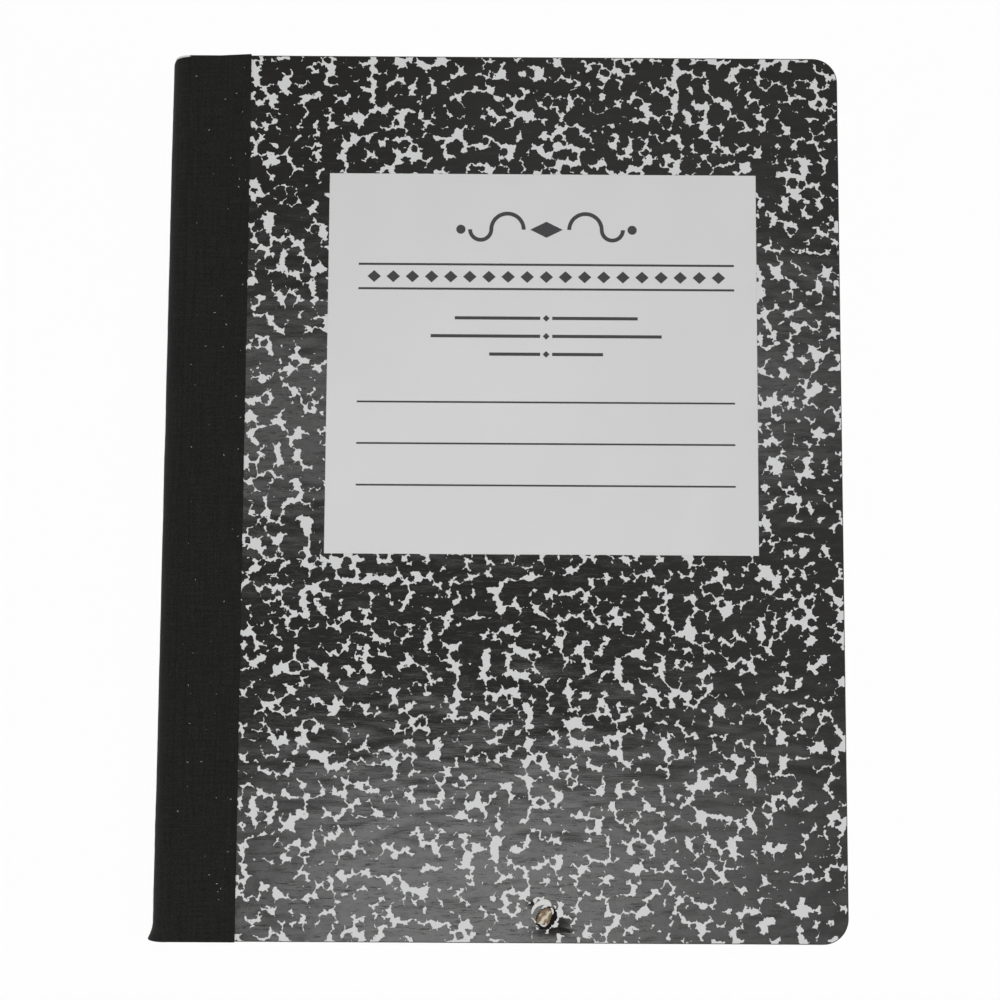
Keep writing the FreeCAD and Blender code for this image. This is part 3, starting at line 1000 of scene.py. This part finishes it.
def scatter_lint():
    """Lint on the tape's flat part, over the front cover."""
    left, right, level = hinge_x + 1.5, spine_x + tape_reach_head - 0.5, overall + 0.03
    corners = [(left, tail_y + 1, level), (right, tail_y + 1, level),
               (right, head_y - 3, level), (left, head_y - 3, level)]
    piece = new_piece("tape_lint", corners, [(0, 1, 2, 3)], [finishes["lint"]])
    run_tree(piece, lint_tree(lint_sizes), lint_sizes)
    smooth_below(settle(piece), 50)
    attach(piece, "front_cover")


scatter_lint()


# Floor, light and camera

floor_reach = 4000.0
floor_clear = 0.93
panel_level = 1.5
camera_place = (-0.7557, -26.2369, 344.1312)
camera_turn_x, camera_turn_y, camera_turn_z = -0.069132, 0.0012891, -0.0058759


def lay_floor():
    """A plain pale floor. The camera sees the white surroundings through most of it, so its own
    shade and the notebook's shadow stay faint. Bounced light meets it as a solid floor, and the lamps
    shine past it on a back cover that is swung below it."""
    reach = floor_reach
    corners = [(-reach, -reach, 0), (reach, -reach, 0), (reach, reach, 0), (-reach, reach, 0)]
    floor = new_piece("floor", corners, [(0, 1, 2, 3)], [])
    finish = Finish("pale_floor", Roughness=1.0, Specular_IOR_Level=0.0)
    grain = finish.noise(finish.coordinates(), 0.05, 3.0)
    finish.set("Base Color", finish.blend(grain, srgb(250, 250, 250), srgb(253, 253, 253)))
    seen = finish.any_ray("Is Camera Ray", "Is Glossy Ray", "Is Transmission Ray", "Is Shadow Ray")
    clear = finish.node("ShaderNodeBsdfTransparent").outputs[0]
    share = finish.sum("MULTIPLY", seen, floor_clear)
    mixed = finish.node("ShaderNodeMixShader",
                        {0: share, 1: finish.shader.outputs[0], 2: clear}).outputs[0]
    output = next(node for node in finish.tree.nodes if node.type == "OUTPUT_MATERIAL")
    finish.tree.links.new(mixed, output.inputs[0])
    floor.data.materials.append(finish.material)


def light_world(level):
    """White surroundings to the eye, and a dimmer even light on the notebook."""
    world = bpy.data.worlds.new("surroundings")
    bpy.context.scene.world = world
    world.use_nodes = True
    wires = Wiring(world.node_tree)
    seen = wires.any_ray("Is Camera Ray", "Is Glossy Ray", "Is Transmission Ray")
    strength = wires.sum("MULTIPLY_ADD", seen, 1.0 - level, level)
    background = world.node_tree.nodes["Background"]
    background.inputs[0].default_value = (1.0, 1.0, 1.0, 1.0)
    world.node_tree.links.new(strength, background.inputs[1])


def add_panel(name, place, aim, wide, tall, radiance, turn=0.0):
    """A soft panel lamp of the given size in metres, as bright to look at as radiance says."""
    data = bpy.data.lights.new(name, "AREA")
    data.shape = "RECTANGLE"
    data.size, data.size_y = wide, tall
    data.energy = radiance * math.pi * wide * tall
    lamp = bpy.data.objects.new(name, data)
    bpy.context.scene.collection.objects.link(lamp)
    facing = (Vector(aim) - Vector(place)).to_track_quat("-Z", "Y").to_matrix().to_4x4()
    lamp.matrix_world = (Matrix.Translation(place) @ facing
                         @ Matrix.Rotation(math.radians(turn), 4, "Z"))


def hang_overhead(name, x, y, wide, tall, radiance, turn=0.0):
    """A panel level over the notebook, which its glossy print mirrors as a soft band."""
    add_panel(name, (x, y, panel_level), (x, y, 0.0), wide, tall, radiance, turn)


lay_floor()
light_world(0.3)
hang_overhead("window_low", -0.07, -0.5, 0.58, 0.34, 10.2)
hang_overhead("window_low_side", 0.36, -0.48, 0.28, 0.42, 4.5)
hang_overhead("window_high", 0.0, 0.23, 1.06, 0.17, 6.5, turn=5.0)
hang_overhead("window_high_edge", 0.0, 0.375, 1.06, 0.12, 2.0, turn=5.0)
hang_overhead("room_glow", 0.2, 0.68, 0.7, 0.4, 0.6)
hang_overhead("room_glow_side", 0.5, -0.03, 0.5, 0.34, 0.5)
add_panel("side_left", (-1.5, 0.1, 1.1), (0.0, 0.0, 0.0), 1.0, 1.0, 0.9)
add_panel("side_right", (1.5, 0.2, 1.1), (0.0, 0.0, 0.0), 1.0, 1.0, 0.9)


def place_camera():
    """Over the notebook, a little to the tail of its middle, as the photograph was taken."""
    turn = (Matrix.Rotation(camera_turn_z, 3, "Z") @ Matrix.Rotation(camera_turn_y, 3, "Y")
            @ Matrix.Rotation(camera_turn_x, 3, "X"))
    data = bpy.data.cameras.new("camera")
    data.lens, data.sensor_width = 43.2, 36.0
    data.clip_start, data.clip_end = 0.01, 20.0
    camera = bpy.data.objects.new("camera", data)
    bpy.context.scene.collection.objects.link(camera)
    place = Vector(camera_place) * MM
    camera.matrix_world = Matrix.Translation(place) @ turn.transposed().to_4x4()
    bpy.context.scene.camera = camera


place_camera()
bpy.context.scene.view_settings.view_transform = "Standard"
